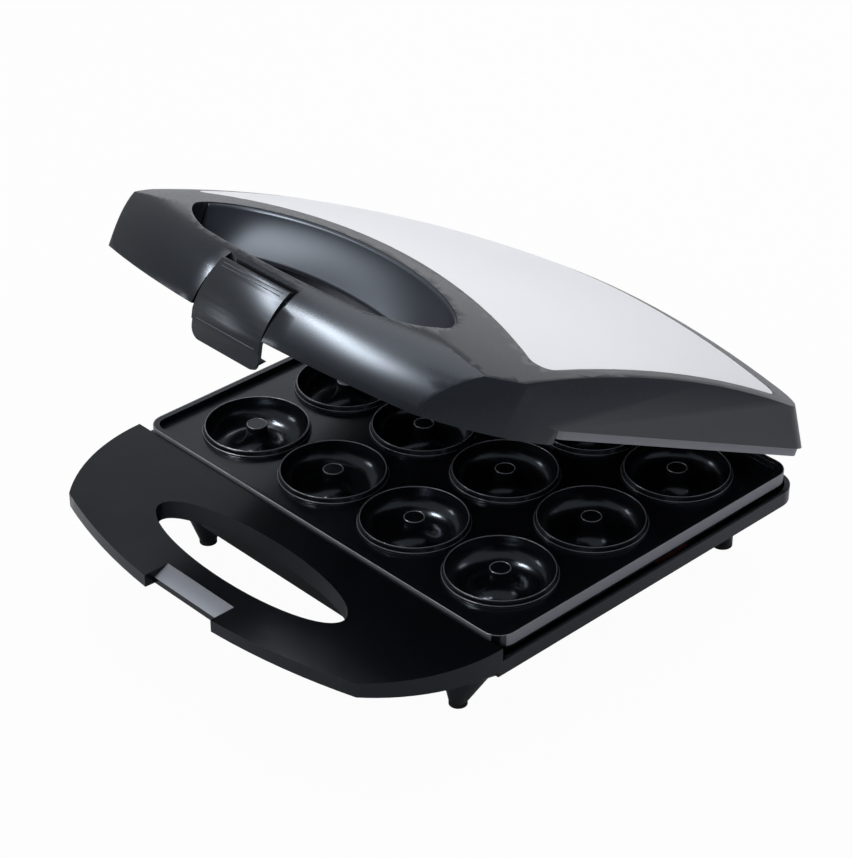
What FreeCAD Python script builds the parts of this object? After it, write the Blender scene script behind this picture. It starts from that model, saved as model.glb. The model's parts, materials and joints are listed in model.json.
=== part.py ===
import FreeCAD, Part
import math
import os
import re
import Sketcher

# Electric donut maker: a base and a hinged lid, each with a cast plate of ring cavities, and a latch clip.
# +X is to the right seen from the front, the handles point to -Y, +Z is up and the table is z = 0.
# Everything is drawn with the lid shut; the lid's pieces are then turned about the hinge to the rest pose.

# Driving sizes in millimetres and degrees.
SIZES = {
    # Grid of ring cavities
    "cavity_columns": 4,
    "cavity_rows": 3,
    "column_gap": 5.5,
    "row_gap": 8.9,
    "grid_mid_y": 26.7,
    # One ring cavity
    "lip_radius": 24,
    "lip_land": 0.9,
    "post_radius": 5,
    "cavity_side": 3,
    "cup_wall": 1.5,
    # Cast plates
    "side_margin": 36.45,
    "end_margin": 37.45,
    "plate_corner": 9,
    "rim_height": 3,
    "rim_width": 3,
    "plate_sheet": 2,
    "plate_skirt": 6,
    "lower_band": 5.7,
    "upper_band": 4.7,
    "skirt_in": 2.6,
    "skirt_wall": 1.4,
    "boss_radius": 4.5,
    "boss_depth": 20,
    "boss_gap": 0.75,
    "closed_gap": 0.5,
    # Plate screws
    "screw_radius": 1.75,
    "screw_fit": 0.05,
    "screw_grip": 12,
    "screw_seat": 8,
    "screw_clear": 0.25,
    "screw_head": 3.2,
    "screw_head_thick": 2.4,
    "housing_boss": 7,
    "counterbore_gap": 0.8,
    # Heaters, reflectors and what holds them
    "heater_radius": 3.25,
    "heater_gap": 0.05,
    "heater_end_in": 24,
    "heater_pin": 24,
    "heater_bend": 8,
    "reflector_sheet": 0.8,
    "reflector_side_in": 12.7,
    "reflector_end_in": 12,
    "reflector_lip": 5,
    "bush_radius": 5,
    "bush_flange": 7,
    "bush_flange_thick": 2,
    "bush_rise": 2.2,
    "bush_fit": 0.1,
    "saddle_sheet": 1.2,
    "saddle_gap": 0.3,
    "saddle_foot": 4,
    "saddle_width": 8,
    # Controls on the plates' backs
    "thermostat_radius": 7.5,
    "thermostat_height": 10,
    "thermostat_set": 15.45,
    "blade_width": 6.3,
    "blade_thick": 0.8,
    "blade_reach": 12,
    "fuse_radius": 2,
    "fuse_length": 12,
    # Shells
    "shell_wall": 2.5,
    "plate_clearance": 0.8,
    "hinge_setback": 8.8,
    "hinge_drop": 12.5,
    # Base
    "stand_height": 55,
    "rim_drop": 8,
    "handle_drop": 1.5,
    "band_depth": 15,
    "tub_depth": 42,
    "tub_side_in": 30,
    "tub_front_in": 6,
    "tub_corner": 6,
    # Handles
    "handle_reach": 75.75,
    "bow_rise": 15.8,
    "corner_in": 24.5,
    "handle_edge": 5.3,
    "handle_root": 11,
    "grip_hole_x": 60.5,
    "grip_hole_y": 17.3,
    "grip_hole_set": 40.5,
    # Legs and pads
    "leg_side_in": 35.4,
    "leg_front_set": 8.5,
    "leg_rear_set": 6.2,
    "leg_top_radius": 20,
    "leg_foot_radius": 4.2,
    "leg_lean_x": 6,
    "leg_lean_y": 5,
    "rear_leg_radius": 5,
    "pad_thick": 2,
    # Lid
    "rest_opening": 26.3,
    "crown_height": 43.5,
    "crown_across": 485,
    "crown_along": 740,
    "crown_forward": 18.7,
    "lid_side_gap": 5.3,
    "lid_corner": 17,
    "lid_side_lean": 12.6,
    "lid_rear_lean": 32,
    "lid_bar_drop": 0.8,
    "bar_height": 23.4,
    "bar_lean": 10.4,
    "bar_depth": 16.5,
    "bar_edge": 12,
    "bar_edge_lean": 29,
    "deck_angle": 18.3,
    "lid_hole_x": 76,
    "lid_hole_y": 28.5,
    "lid_hole_set": 42.7,
    "cover_side_in": 10.7,
    "cover_front_out": 8.9,
    "cover_front_rise": 16,
    "cover_rear_in": 25.5,
    "cover_corner": 8,
    "cover_sheet": 0.8,
    "cover_gap": 0.15,
    # Hinge
    "lug_x": 72,
    "lug_width": 12,
    "lug_radius": 4.8,
    "lug_gap": 0.5,
    "ear_width": 5.5,
    "pin_radius": 2.5,
    "pin_fit": 0.02,
    "pin_run": 0.05,
    # Latch
    "latch_width": 42,
    "latch_gap": 1,
    "latch_sheet": 2.2,
    "tab_step": 0.55,
    "latch_round": 38,
    "latch_top": 20.5,
    "latch_top_set": 8.9,
    "latch_low": 2.5,
    "latch_low_set": 1.2,
    "latch_tab": 14.5,
    "latch_tab_set": 4.6,
    "latch_corner": 5,
    "barb_depth": 9,
    "barb_height": 2.2,
    "barb_reach": 3.2,
    "latch_pin_radius": 1.25,
    "latch_barrel": 3.2,
    "latch_pin_set": 10,
    "latch_pin_height": 13,
    "notch_depth": 13.7,
    "ramp_depth": 3.5,
    "catch_set": 6,
    # Mains lead entry and wiring
    "gland_depth": 27,
    "gland_bore": 3.6,
    "gland_radius": 7,
    "gland_flange": 10,
    "gland_flange_thick": 2.5,
    "block_long": 30,
    "block_deep": 16,
    "block_tall": 14,
    "block_port": 2.1,
    "block_set": 30,
    "block_side": 60,
    "lead_radius": 1.4,
    "lead_lift": 6.5,
    "lead_bend": 4,
    "lead_apart": 10,
}

# Values worked out from the driving sizes, all with the lid shut.
WORKED = {
    "column_pitch": "2 * lip_radius + column_gap",
    "row_pitch": "2 * lip_radius + row_gap",
    "first_column": "0 - column_pitch * (cavity_columns - 1) / 2",
    "first_row": "0 - row_pitch * (cavity_rows - 1) / 2",
    "plate_width": "column_pitch * (cavity_columns - 1) + 2 * side_margin",
    "plate_depth": "row_pitch * (cavity_rows - 1) + 2 * end_margin",
    "trough_radius": "(lip_radius - post_radius) / 2",
    "trough_mid": "(lip_radius + post_radius) / 2",
    "cup_radius": "trough_radius + cup_wall",
    "sheet_low": "0 - rim_height - plate_sheet",
    "run_y": "row_pitch / 2",
    "boss_x": "column_pitch",
    "boss_y": "run_y + heater_radius + boss_radius + boss_gap",
    "half_width": "plate_width / 2 + plate_clearance + shell_wall",
    "plate_front": "grid_mid_y - plate_depth / 2",
    "plate_back": "grid_mid_y + plate_depth / 2",
    "shoulder_y": "plate_front - plate_clearance",
    "bow_front": "plate_front - handle_reach",
    "corner_x": "half_width - corner_in",
    "corner_y": "bow_front + bow_rise",
    "bow_radius": "(corner_x ^ 2 + bow_rise ^ 2) / (2 * bow_rise)",
    "bow_mid_y": "bow_front + bow_radius",
    "shoulder_radius": "(corner_in ^ 2 + (shoulder_y - corner_y) ^ 2) / (2 * corner_in)",
    "rim_z": "stand_height",
    "handle_z": "rim_z - handle_drop",
    "band_z": "rim_z - band_depth",
    "tub_z": "rim_z - tub_depth",
    "hinge_y": "plate_back + hinge_setback",
    "hinge_z": "rim_z - hinge_drop",
    "rear_y": "plate_back + plate_clearance + shell_wall",
    "rear_corner": "plate_corner + plate_clearance + shell_wall",
    "lid_rim_z": "rim_z + closed_gap",
    "lid_side_z": "rim_z + lid_side_gap",
    "lid_bar_z": "rim_z - lid_bar_drop",
    "lug_top_z": "lid_side_z + lug_radius",
    "bar_top_y": "bow_front + bar_lean",
    "bar_top_z": "rim_z + bar_height",
    "bar_run": "bar_lean - bar_edge * sin(bar_edge_lean)",
    "bar_rise": "bar_height + lid_bar_drop - bar_edge * cos(bar_edge_lean)",
    "bar_bend": "bar_rise * sin(bar_edge_lean) - bar_run * cos(bar_edge_lean)",
    "bar_round": "(bar_run ^ 2 + bar_rise ^ 2) / (2 * bar_bend)",
    "edge_round": "bar_edge / tan((90 - deck_angle - bar_edge_lean) / 2)",
    "crown_y": "grid_mid_y - crown_forward",
    "crown_z": "rim_z + crown_height",
    "leg_x": "half_width - leg_side_in",
    "leg_front_y": "plate_front + leg_front_set",
    "leg_rear_y": "plate_back - leg_rear_set",
    "seat_z": "boss_depth + reflector_sheet",
    "latch_pin_y": "bow_front + latch_pin_set",
    "latch_pin_z": "rim_z + latch_pin_height",
    "bay_half": "latch_width / 2 + latch_gap",
    "bay_back": "bow_front + bar_depth - shell_wall",
    "gland_z": "rim_z - gland_depth",
    "heater_z": "sheet_low - heater_gap - heater_radius",
    "heater_end_x": "plate_width / 2 - heater_end_in",
    "beyond": "shell_wall * 4",
    "lean_reach": "beyond * 4",
}

# Points nearer than this are the same point.
TOUCH = 0.0001

AXES = {"x": FreeCAD.Vector(1, 0, 0), "y": FreeCAD.Vector(0, 1, 0), "z": FreeCAD.Vector(0, 0, 1)}
# Turns that lay a flat sketch on each plane, and the axis that each plane stands across.
PLANES = {
    "XY": (FreeCAD.Rotation(), "z"),
    "XZ": (FreeCAD.Rotation(AXES["x"], 90), "y"),
    "YZ": (FreeCAD.Rotation(FreeCAD.Vector(1, 1, 1), 120), "x"),
}

doc = FreeCAD.newDocument("donut_maker")
sheet = doc.addObject("Spreadsheet::Sheet", "sizes")
for line, (alias, value) in enumerate(SIZES.items(), start=1):
    sheet.set(f"A{line}", alias)
    sheet.set(f"B{line}", str(value))
    sheet.setAlias(f"B{line}", alias)
doc.recompute()


# Sizes and placing


def cells(expression):
    """The expression with every size and worked-out value written as cells of the sheet."""
    def swap(match):
        word = match.group(0)
        if word in SIZES:
            return "sizes." + word
        if word in WORKED:
            return "(" + cells(WORKED[word]) + ")"
        return word
    return re.sub(r"[a-z_]+", swap, str(expression))


def size(expression):
    """The value of an expression in millimetres."""
    return float(sheet.evalExpression(cells(expression)))


def bind(thing, sizes):
    """Ties properties of an object to the sheet."""
    for field, expression in sizes.items():
        thing.setExpression(field, cells(expression))


def place(thing, x="0", y="0", z="0"):
    """Moves an object, bound to the sheet."""
    bind(thing, {"Placement.Base.x": x, "Placement.Base.y": y, "Placement.Base.z": z})
    return thing


def hang(thing, y="0", z="0", turn="0", x="0"):
    """Places a piece of the lid: moved and turned about X while shut, then opened about the hinge."""
    thing.Placement = FreeCAD.Placement(FreeCAD.Vector(), FreeCAD.Rotation(AXES["x"], 1))
    cos, sin = "cos(rest_opening)", "sin(rest_opening)"
    across, up = f"({y} - hinge_y)", f"({z} - hinge_z)"
    place(thing, x, f"hinge_y + {across} * {cos} + {up} * {sin}",
          f"hinge_z - {across} * {sin} + {up} * {cos}")
    bind(thing, {"Placement.Rotation.Angle": f"{turn} - rest_opening"})
    return thing


def seat(thing, half):
    """Places a piece drawn from a plate's rim: open side up in the base, upside down in the lid."""
    if half == "lower":
        return place(thing, y="grid_mid_y", z="rim_z")
    return hang(thing, "grid_mid_y", "lid_rim_z", "180")


# Sketches


def board(name, plane="XY", at="0"):
    """A free sketch on a plane, moved along the axis that the plane stands across."""
    sketch = doc.addObject("Sketcher::SketchObject", name)
    turn, axis = PLANES[plane]
    sketch.Placement = FreeCAD.Placement(FreeCAD.Vector(), turn)
    bind(sketch, {f"Placement.Base.{axis}": at})
    return sketch


def body_board(body, name, plane="XY", lift="0", along="0"):
    """A sketch on one of a body's own planes, lifted off it and moved along its own X."""
    sketch = body.newObject("Sketcher::SketchObject", name)
    origin = next(part for part in body.Origin.OriginFeatures if part.Role == plane + "_Plane")
    sketch.AttachmentSupport = [(origin, "")]
    sketch.MapMode = "FlatFace"
    bind(sketch, {"AttachmentOffset.Base.z": lift, "AttachmentOffset.Base.x": along})
    return sketch


def hold(sketch, kind, where, expression):
    """Adds one sketch constraint and ties it to the sheet."""
    index = sketch.addConstraint(Sketcher.Constraint(kind, *where, size(expression)))
    sketch.setExpression(f"Constraints[{index}]", cells(expression))


def arc_between(start, end, radius):
    """A short arc from start to end that turns left where the radius is positive, and right otherwise."""
    middle = (start + end) / 2
    chord = end - start
    left = FreeCAD.Vector(-chord.y, chord.x, 0).normalize()
    rise = abs(radius) - math.sqrt(max(radius ** 2 - chord.Length ** 2 / 4, 0))
    return Part.Arc(start, middle - left * math.copysign(rise, radius), end)


def trace(sketch, corners):
    """Draws a closed outline. A corner is (x, y), or (x, y, radius) where a short arc leaves it."""
    spots = [FreeCAD.Vector(size(corner[0]), size(corner[1]), 0) for corner in corners]
    ends = []
    for corner, start, end in zip(corners, spots, spots[1:] + spots[:1]):
        curved = len(corner) > 2
        edge = arc_between(start, end, size(corner[2])) if curved else Part.LineSegment(start, end)
        index = sketch.addGeometry(edge)
        near, far = [sketch.getPoint(index, end).distanceToPoint(start) for end in (1, 2)]
        ends.append(((index, 1), (index, 2)) if near < far else ((index, 2), (index, 1)))
    for corner, (start, _), (_, last) in zip(corners, ends, ends[-1:] + ends[:-1]):
        sketch.addConstraint(Sketcher.Constraint("Coincident", *last, *start))
        hold(sketch, "DistanceX", start, corner[0])
        hold(sketch, "DistanceY", start, corner[1])
        if len(corner) > 2:
            hold(sketch, "Radius", start[:1], f"abs({corner[2]})")
    return sketch


def circle(sketch, x, y, radius):
    """Draws a circle."""
    shape = Part.Circle(FreeCAD.Vector(size(x), size(y), 0), AXES["z"], size(radius))
    index = sketch.addGeometry(shape)
    hold(sketch, "DistanceX", (index, 3), x)
    hold(sketch, "DistanceY", (index, 3), y)
    hold(sketch, "Radius", (index,), radius)
    return sketch


def rounded(sketch, x, front, back, front_corner, back_corner):
    """Draws a rectangle with round corners, x either side of the middle."""
    return trace(sketch, [
        (f"{front_corner} - ({x})", front), (f"{x} - {front_corner}", front, front_corner),
        (x, f"{front} + {front_corner}"), (x, f"{back} - {back_corner}", back_corner),
        (f"{x} - {back_corner}", back), (f"{back_corner} - ({x})", back, back_corner),
        (f"0 - ({x})", f"{back} - {back_corner}"),
        (f"0 - ({x})", f"{front} + {front_corner}", front_corner),
    ])


# Solids


def prism(name, outline, length, both=False):
    """Extrudes a sketch along its normal, or the same to both sides."""
    solid = doc.addObject("Part::Extrusion", name)
    solid.Base = outline
    solid.DirMode = "Normal"
    solid.Solid = True
    solid.Symmetric = both
    bind(solid, {"LengthFwd": length})
    return solid


def turned(name, outline, axis, angle="360", y="0", z="0", both=False):
    """Revolves a sketch about a line along an axis."""
    solid = doc.addObject("Part::Revolution", name)
    solid.Source = outline
    solid.Axis = AXES[axis]
    solid.Solid = True
    solid.Symmetric = both
    bind(solid, {"Angle": angle, "Base.y": y, "Base.z": z})
    return solid


def block(name, x, y, z):
    """A box between a low and a high value on each axis."""
    solid = doc.addObject("Part::Box", name)
    for field, (low, high) in {"Length": x, "Width": y, "Height": z}.items():
        bind(solid, {field: f"({high}) - ({low})"})
    return place(solid, x[0], y[0], z[0])


def rod(name, axis, radius, length, x="0", y="0", z="0"):
    """A cylinder from a point along an axis."""
    solid = doc.addObject("Part::Cylinder", name)
    solid.Placement = FreeCAD.Placement(FreeCAD.Vector(), FreeCAD.Rotation(AXES["z"], AXES[axis]))
    bind(solid, {"Radius": radius, "Height": length})
    return place(solid, x, y, z)


def oval(name, x_radius, y_radius, y, low, high):
    """An upright prism on an ellipse whose long axis is X."""
    edge = doc.addObject("Part::Ellipse", name + "_edge")
    bind(edge, {"MajorRadius": x_radius, "MinorRadius": y_radius})
    place(edge, y=y, z=low)
    return prism(name, edge, f"({high}) - ({low})")


def inset(name, outline, distance):
    """An outline moved inwards."""
    inner = doc.addObject("Part::Offset2D", name)
    inner.Source = outline
    inner.Join = "Intersection"
    bind(inner, {"Value": f"0 - ({distance})"})
    return inner


def fuse(name, *solids):
    """Joins solids into one."""
    whole = doc.addObject("Part::MultiFuse", name)
    whole.Shapes = list(solids)
    whole.Refine = True
    return whole


def cut(name, base, *tools):
    """Takes tools away from a solid."""
    rest = doc.addObject("Part::Cut", name)
    rest.Base = base
    rest.Tool = tools[0] if len(tools) == 1 else fuse(name + "_tools", *tools)
    return rest


def common(name, *solids):
    """What some solids share."""
    shared = doc.addObject("Part::MultiCommon", name)
    shared.Shapes = list(solids)
    return shared


def group(name, solids):
    """Like pieces that share one node."""
    pieces = doc.addObject("Part::Compound", name)
    pieces.Links = list(solids)
    return pieces


def route(points, bends):
    """A wire of straight runs joined by tangent arcs, one bend radius for each inner point."""
    edges = []
    here = points[0]
    for before, corner, after, bend in zip(points, points[1:], points[2:], bends):
        back = (before - corner).normalize()
        on = (after - corner).normalize()
        half = math.acos(max(-1, min(1, back.dot(on)))) / 2
        leave = corner + back * (bend / math.tan(half))
        join = corner + on * (bend / math.tan(half))
        inward = (back + on).normalize()
        middle = corner + inward * (bend / math.sin(half) - bend)
        if (leave - here).Length > TOUCH:
            edges.append(Part.LineSegment(here, leave).toShape())
        edges.append(Part.Arc(leave, middle, join).toShape())
        here = join
    edges.append(Part.LineSegment(here, points[-1]).toShape())
    return Part.Wire(edges)


def tube(points, bends, radius):
    """A round solid along a route, compared with its section times its length."""
    path = route(points, bends)
    profile = Part.Wire(Part.makeCircle(radius, points[0], points[1] - points[0]))
    solid = path.makePipeShell([profile], True, False)
    expected = math.pi * radius ** 2 * path.Length
    if abs(solid.Volume - expected) > expected / 100:
        raise ValueError("a tube's volume doesn't match its route")
    return solid


def feature(name, shape):
    """A piece whose shape is worked out above."""
    piece = doc.addObject("Part::Feature", name)
    piece.Shape = shape
    return piece


# Cast plates, drawn from the middle of the rim plane with the cavities open upwards


def pad(body, name, sketch, length, both=False):
    """Thickens a sketch of a body."""
    step = body.newObject("PartDesign::Pad", name)
    step.Profile = sketch
    if both:
        step.SideType = "Symmetric"
    bind(step, {"Length": length})
    doc.recompute()
    return step


def pocket(body, name, sketch, length, up=False, both=False):
    """Cuts a sketch into a body, and makes sure that it cut something."""
    doc.recompute()
    before = body.Shape.Volume
    step = body.newObject("PartDesign::Pocket", name)
    step.Profile = sketch
    step.Reversed = up
    if both:
        step.SideType = "Symmetric"
    bind(step, {"Length": length})
    doc.recompute()
    if body.Shape.Volume >= before:
        raise ValueError(name + " cuts nothing")
    return step


def plate_outline(sketch, distance):
    """The plate's outline, moved inwards."""
    corner = f"(plate_corner - {distance})"
    half_depth = f"plate_depth / 2 - {distance}"
    side = f"(plate_width / 2 - {distance})"
    return rounded(sketch, side, f"0 - ({half_depth})", half_depth, corner, corner)


def four_bosses(sketch, radius):
    """A circle at each of the plate's four screws."""
    for x in ("boss_x", "0 - boss_x"):
        for y in ("boss_y", "0 - boss_y"):
            circle(sketch, x, y, radius)
    return sketch


def baking_plate(half):
    """Cast plate with a raised rim, a skirt, a grid of ring cavities and four screw bosses."""
    body = doc.addObject("PartDesign::Body", half + "_baking_plate")
    frame = body_board(body, half + "_plate_frame", lift=f"0 - {half}_band")
    plate_outline(frame, "0")
    plate_outline(frame, "rim_width")
    pad(body, half + "_plate_rim", frame, half + "_band")
    floor = body_board(body, half + "_plate_floor", lift="sheet_low")
    plate_outline(floor, "rim_width / 2")
    pad(body, half + "_plate_sheet", floor, "plate_sheet")
    skirt = body_board(body, half + "_skirt_outline", lift="0 - plate_skirt")
    plate_outline(skirt, "skirt_in")
    plate_outline(skirt, "(skirt_in + skirt_wall)")
    pad(body, half + "_plate_skirt", skirt, "plate_skirt - rim_height - plate_sheet / 2")

    # One cup and its ring trough stand at the first column and row, and are repeated over the grid.
    cup = body_board(body, half + "_cup", "XZ", "0 - first_row", "first_column")
    cup_low = "0 - cavity_side - cup_radius"
    trace(cup, [
        ("0", "0"), ("lip_radius + lip_land", "0"),
        ("lip_radius + cup_wall", "0 - cavity_side", "0 - cup_radius"), ("trough_mid", cup_low),
        ("0", cup_low),
    ])
    trough = body_board(body, half + "_trough", "XZ", "0 - first_row", "first_column")
    trace(trough, [
        ("post_radius", "cup_wall"), ("lip_radius", "cup_wall"),
        ("lip_radius", "0 - cavity_side", "0 - trough_radius"),
        ("trough_mid", "0 - cavity_side - trough_radius", "0 - trough_radius"),
        ("post_radius", "0 - cavity_side"),
    ])
    steps = []
    for kind, sketch in (("Revolution", cup), ("Groove", trough)):
        step = body.newObject("PartDesign::" + kind, f"{half}_{sketch.Name}_turn")
        step.Profile = sketch
        step.ReferenceAxis = (sketch, ["V_Axis"])
        step.Angle = 360
        doc.recompute()
        steps.append(step)
    grid = body.newObject("PartDesign::MultiTransform", half + "_cavities")
    grid.Originals = steps
    columns = body.newObject("PartDesign::LinearPattern", half + "_columns")
    columns.Direction = (floor, ["H_Axis"])
    bind(columns, {"Occurrences": "cavity_columns", "Length": "column_pitch * (cavity_columns - 1)"})
    rows = body.newObject("PartDesign::LinearPattern", half + "_rows")
    rows.Direction = (floor, ["V_Axis"])
    bind(rows, {"Occurrences": "cavity_rows", "Length": "row_pitch * (cavity_rows - 1)"})
    grid.Transformations = [columns, rows]
    body.Tip = grid
    doc.recompute()

    bosses = body_board(body, half + "_boss_rings", lift="0 - boss_depth")
    four_bosses(bosses, "boss_radius")
    pad(body, half + "_bosses", bosses, "boss_depth - rim_height - plate_sheet / 2")
    holes = body_board(body, half + "_screw_rings", lift="0 - boss_depth")
    four_bosses(holes, "screw_radius + screw_fit")
    pocket(body, half + "_screw_holes", holes, "screw_grip + screw_fit", up=True)
    return body


# Heaters and what lies behind the plates, drawn from the same point


def spot(x, y, z):
    """A point of a route."""
    return FreeCAD.Vector(size(x), size(y), size(z))


def heating_element(half):
    """Tubular heater: two runs between the rows, joined round the last cavity of the middle row."""
    far_x = "first_column - run_y"
    points = [
        spot("heater_end_x", "0 - run_y", "0 - heater_pin"), spot("heater_end_x", "0 - run_y", "heater_z"),
        spot(far_x, "0 - run_y", "heater_z"), spot(far_x, "run_y", "heater_z"),
        spot("heater_end_x", "run_y", "heater_z"), spot("heater_end_x", "run_y", "0 - heater_pin"),
    ]
    bends = [size("heater_bend"), size("run_y"), size("run_y"), size("heater_bend")]
    return feature(half + "_heating_element", tube(points, bends, size("heater_radius")))


def heater_bushes(half):
    """Flanged ceramic bushes round the heater's two ends, let into the reflector."""
    bushes = []
    for side, y in (("near", "0 - run_y"), ("far", "run_y")):
        name = f"{half}_{side}_bush"
        flange = rod(name + "_flange", "z", "bush_flange", "bush_flange_thick", "heater_end_x", y,
                     "0 - seat_z - bush_flange_thick")
        neck = rod(name + "_neck", "z", "bush_radius", "reflector_sheet + bush_rise", "heater_end_x", y,
                   "0 - seat_z")
        bore = rod(name + "_bore", "z", "heater_radius + bush_fit", "heater_pin", "heater_end_x", y,
                   "0 - heater_pin")
        bushes.append(cut(name, fuse(name + "_blank", flange, neck), bore))
    return group(half + "_heater_bushes", bushes)


def strap_outline(sketch, radius):
    """Bent strip that holds a round piece of this radius against the plate's back."""
    inner = f"({radius} + saddle_gap)"
    outer = f"({inner} + saddle_sheet)"
    foot = f"({outer} + saddle_foot)"
    foot_low = "sheet_low - saddle_sheet"
    floor = f"sheet_low - heater_gap - 2 * {radius} - saddle_gap"
    right = [(inner, floor), (inner, "sheet_low"), (foot, "sheet_low"), (foot, foot_low), (outer, foot_low),
             (outer, f"{floor} - saddle_sheet")]
    left = [(f"0 - {y}", z) for y, z in reversed(right)]
    return trace(sketch, right + left)


def heater_saddles(half):
    """Steel saddles over the heater's two runs."""
    outline = strap_outline(board(half + "_saddle_outline", "YZ"), "heater_radius")
    saddles = []
    for side, y in (("near", "0 - run_y"), ("far", "run_y")):
        saddles.append(place(prism(f"{half}_{side}_saddle", outline, "saddle_width", both=True), y=y))
    return group(half + "_heater_saddles", saddles)


def heat_reflector(half):
    """Folded sheet tray between the plate's bosses and the housing's, with an upturned lip."""
    body = doc.addObject("PartDesign::Body", half + "_heat_reflector")

    def tray(sketch, distance):
        half_depth = f"plate_depth / 2 - reflector_end_in - {distance}"
        corner = f"(plate_corner - {distance})"
        return rounded(sketch, f"(plate_width / 2 - reflector_side_in - {distance})", f"0 - ({half_depth})",
                       half_depth, corner, corner)

    floor = tray(body_board(body, half + "_tray_floor", lift="0 - seat_z"), "0")
    pad(body, half + "_tray_sheet", floor, "reflector_sheet")
    lip = body_board(body, half + "_tray_edge", lift="0 - seat_z")
    tray(lip, "0")
    tray(lip, "reflector_sheet")
    pad(body, half + "_tray_lip", lip, "reflector_lip")
    holes = body_board(body, half + "_tray_holes", lift="0 - seat_z")
    four_bosses(holes, "screw_radius + screw_clear")
    for y in ("0 - run_y", "run_y"):
        circle(holes, "heater_end_x", y, "bush_radius + bush_fit")
    pocket(body, half + "_tray_cut", holes, "reflector_lip", up=True)
    return body


def plate_screws(half):
    """Pan-head screws from behind the housing into the plate's bosses."""
    outline = board(half + "_screw_outline", "XZ")
    head_top = "0 - seat_z - screw_seat"
    trace(outline, [
        ("0", f"{head_top} - screw_head_thick"), ("screw_head", f"{head_top} - screw_head_thick"),
        ("screw_head", head_top), ("screw_radius", head_top), ("screw_radius", "screw_grip - boss_depth"),
        ("0", "screw_grip - boss_depth"),
    ])
    screws = []
    for side, x in (("left", "0 - boss_x"), ("right", "boss_x")):
        for end, y in (("front", "0 - boss_y"), ("rear", "boss_y")):
            screws.append(place(turned(f"{half}_{side}_{end}_screw", outline, "z"), x, y))
    return group(half + "_plate_screws", screws)


def thermostat(half):
    """Round bimetal thermostat on the plate's back, with a blade to each side."""
    y = "thermostat_set - plate_depth / 2"
    name = half + "_thermostat"
    can_low = "sheet_low - thermostat_height"
    can = rod(name + "_can", "z", "thermostat_radius", "thermostat_height", "0", y, can_low)
    blade_z = f"{can_low} + blade_thick"
    blades = block(name + "_blades", ("0 - blade_reach", "blade_reach"),
                   (f"{y} - blade_width / 2", f"{y} + blade_width / 2"),
                   (blade_z, f"{blade_z} + blade_thick"))
    return fuse(name, can, blades)


def thermal_fuse():
    """Thermal fuse and the strap that holds it to the lower plate's back."""
    y = "plate_depth / 2 - thermostat_set"
    link = rod("thermal_fuse", "x", "fuse_radius", "fuse_length", "0 - fuse_length / 2", y,
               "sheet_low - heater_gap - fuse_radius")
    outline = strap_outline(board("fuse_strap_outline", "YZ"), "fuse_radius")
    strap = place(prism("fuse_strap", outline, "saddle_width", both=True), y=y)
    return group("thermal_fuse_body", [link]), group("thermal_fuse_clip", [strap])


# Housings


def plan(name, corner):
    """Plan of a housing: bowed front, rounded shoulders, straight sides, round rear corners."""
    sketch = board(name)
    left = "0 - half_width"
    return trace(sketch, [
        ("0 - corner_x", "corner_y", "bow_radius"), ("corner_x", "corner_y", "shoulder_radius"),
        ("half_width", "shoulder_y"), ("half_width", f"rear_y - {corner}", corner),
        (f"half_width - {corner}", "rear_y"), (f"{corner} - half_width", "rear_y", corner),
        (left, f"rear_y - {corner}"), (left, "shoulder_y", "shoulder_radius"),
    ])


def raised(name, outline, low, high):
    """A prism on a plan outline between two heights."""
    return place(prism(name, outline, f"({high}) - ({low})"), z=low)


def across(name, y, z):
    """A block that reaches past both sides of the body."""
    return block(name, ("0 - half_width - beyond", "half_width + beyond"), y, z)


def pairs():
    """The two sides of the body, as names and signs."""
    return (("left", "0 - "), ("right", "0 + "))


def housing_bosses(half, low, high):
    """Posts that the plate's bosses stand against, one for each screw."""
    posts = []
    for side, sign in pairs():
        for end, y in (("front", "grid_mid_y - boss_y"), ("rear", "grid_mid_y + boss_y")):
            posts.append(rod(f"{half}_{side}_{end}_post", "z", "housing_boss", f"({high}) - ({low})",
                             f"{sign}boss_x", y, low))
    return posts


def screw_ways(half, low, high, head_low, head_high):
    """Clearance holes and counterbores for the plate screws."""
    ways = []
    for side, sign in pairs():
        for end, y in (("front", "grid_mid_y - boss_y"), ("rear", "grid_mid_y + boss_y")):
            name = f"{half}_{side}_{end}"
            ways.append(rod(name + "_way", "z", "screw_radius + screw_clear", f"({high}) - ({low})",
                            f"{sign}boss_x", y, low))
            ways.append(rod(name + "_sink", "z", "screw_head + counterbore_gap",
                            f"({head_high}) - ({head_low})", f"{sign}boss_x", y, head_low))
    return ways


def tub(name, side, front, back, low, low_side, low_front, corner):
    """Tapered lower part of the base."""
    top = rounded(board(name + "_top", at="band_z"), side, front, back, "tub_corner", corner)
    bottom = rounded(board(name + "_bottom", at=low), low_side, low_front, back, "tub_corner", corner)
    solid = doc.addObject("Part::Loft", name)
    solid.Sections = [top, bottom]
    solid.Solid = True
    solid.Ruled = True
    return solid


def leg(side, sign):
    """Front leg: a skew cone from under the shoulder to its pad."""
    top = circle(board(f"{side}_leg_top", at="band_z"), f"{sign}(leg_x + leg_lean_x)",
                 "leg_front_y + leg_lean_y", "leg_top_radius")
    foot = circle(board(f"{side}_leg_foot", at="pad_thick"), f"{sign}leg_x", "leg_front_y",
                  "leg_foot_radius")
    solid = doc.addObject("Part::Loft", f"{side}_leg")
    solid.Sections = [top, foot]
    solid.Solid = True
    solid.Ruled = True
    return solid


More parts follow.
